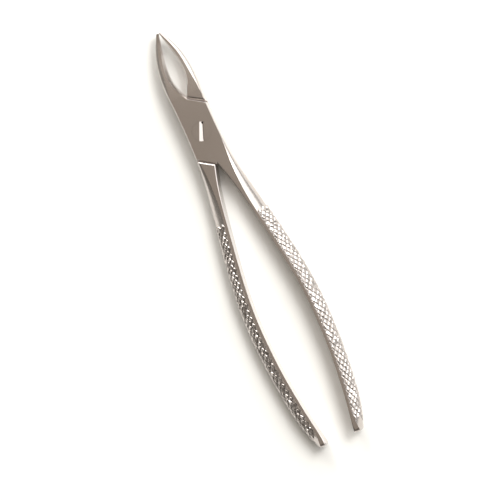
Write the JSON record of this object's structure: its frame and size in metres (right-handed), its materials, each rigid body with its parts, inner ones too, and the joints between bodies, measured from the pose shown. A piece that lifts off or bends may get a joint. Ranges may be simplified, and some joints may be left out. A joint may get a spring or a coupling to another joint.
{
  "type": "extraction forceps",
  "caption": "Straight dental extraction forceps with slender closed beaks, a flush half-lap screw joint and long bowed handles with a diamond-cut grip",
  "frame": {"origin": "on the pivot axis, on the flat face that the forceps rest on", "axes": "+Y to the beak tips, -Y to the handle ends, +Z along the pivot axis out of the slotted screw face, +X to the right"},
  "size_m": [0.032, 0.175, 0.0096],
  "materials": {
    "forged_steel": "satin ground stainless steel, warm grey, bright on worn edges and cut teeth",
    "screw_steel": "satin stainless steel, finished flush with the joint"
  },
  "bodies": {
    "rear": {"rear_half": "forged_steel", "pivot_screw": "screw_steel"},
    "front": {"front_half": "forged_steel"}
  },
  "joints": [
    {"name": "jaw_hinge", "type": "hinge", "parent": "rear", "child": "front", "pos_m": [0, 0, 0.0048], "axis": [0, 0, 1], "range_deg": [0, 30]}
  ]
}
